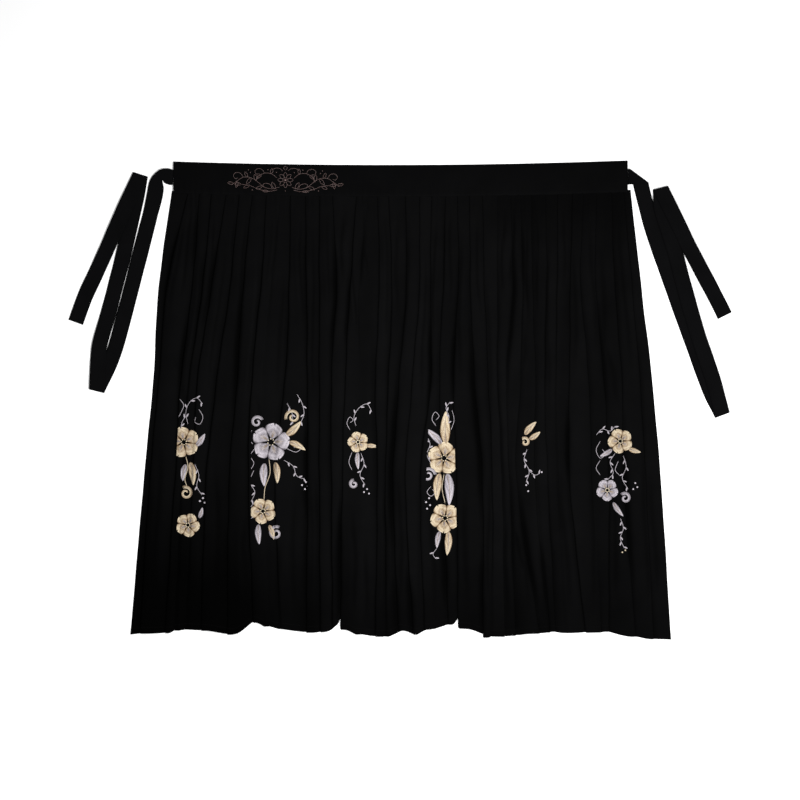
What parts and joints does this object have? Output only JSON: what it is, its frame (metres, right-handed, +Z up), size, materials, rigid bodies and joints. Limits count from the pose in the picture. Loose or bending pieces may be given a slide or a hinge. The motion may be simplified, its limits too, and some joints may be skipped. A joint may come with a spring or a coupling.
{
  "type": "wrap skirt laid flat",
  "caption": "Long black wrap skirt opened out and laid flat: a plain waistband, lengthwise gathered folds, an embroidered band of motifs and a long folded tie at each end.",
  "frame": {"origin": "on the surface the skirt lies on, under the centre of the laid-out skirt's box", "axes": "+X across the skirt to the right as seen from above, +Y from the hem to the waistband, +Z up off the surface"},
  "size_m": [1.3264, 0.958, 0.004],
  "materials": {
    "skirt_cloth": "matt black light woven cloth with soft lengthwise folds",
    "band_cloth": "matt black firm woven cloth, folded double and stitched",
    "tie_cloth": "matt black woven cloth, double, pressed flat",
    "gold_thread": "satin stitch in gold to cream thread",
    "silver_thread": "satin and line stitch in silver lilac thread",
    "bronze_thread": "fine line stitch in pinkish bronze thread"
  },
  "bodies": {
    "root": {"waistband": "band_cloth", "panel_left": "skirt_cloth", "panel_centre": "skirt_cloth", "panel_right": "skirt_cloth", "tie_left": "tie_cloth", "tie_right": "tie_cloth"}
  },
  "joints": []
}
